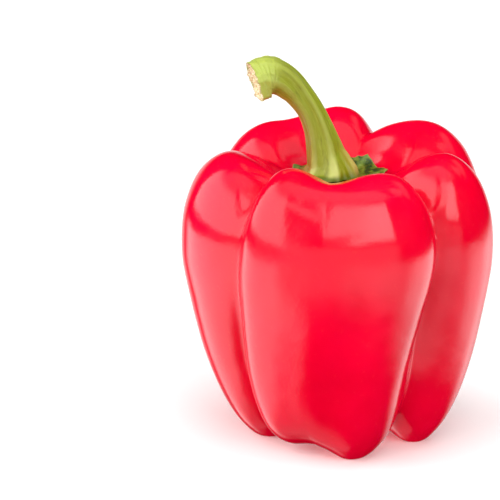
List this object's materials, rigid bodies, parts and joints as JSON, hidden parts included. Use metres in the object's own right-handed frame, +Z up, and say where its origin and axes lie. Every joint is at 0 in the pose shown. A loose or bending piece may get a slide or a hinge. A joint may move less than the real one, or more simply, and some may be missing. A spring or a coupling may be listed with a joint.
{
  "type": "bell pepper",
  "caption": "Ripe red bell pepper with rounded lobes, a toothed green calyx and a short curved stem, standing on the tips of its lobes; a fresh vegetable for cooking or eating raw.",
  "frame": {"origin": "on the surface the pepper stands on, under the middle of its bounding box", "axes": "+Z up from the blossom end to the stem, -Y the front, +X the front's right; the stem bends towards -X"},
  "size_m": [0.0889, 0.089, 0.1126],
  "materials": {
    "fruit_skin": "waxy gloss",
    "calyx_leaf": "leathery, slightly bumpy",
    "stem_green": "smooth, faintly ribbed"
  },
  "bodies": {
    "root": {"fruit": "fruit_skin", "calyx": "calyx_leaf", "stem": "stem_green"}
  },
  "joints": []
}
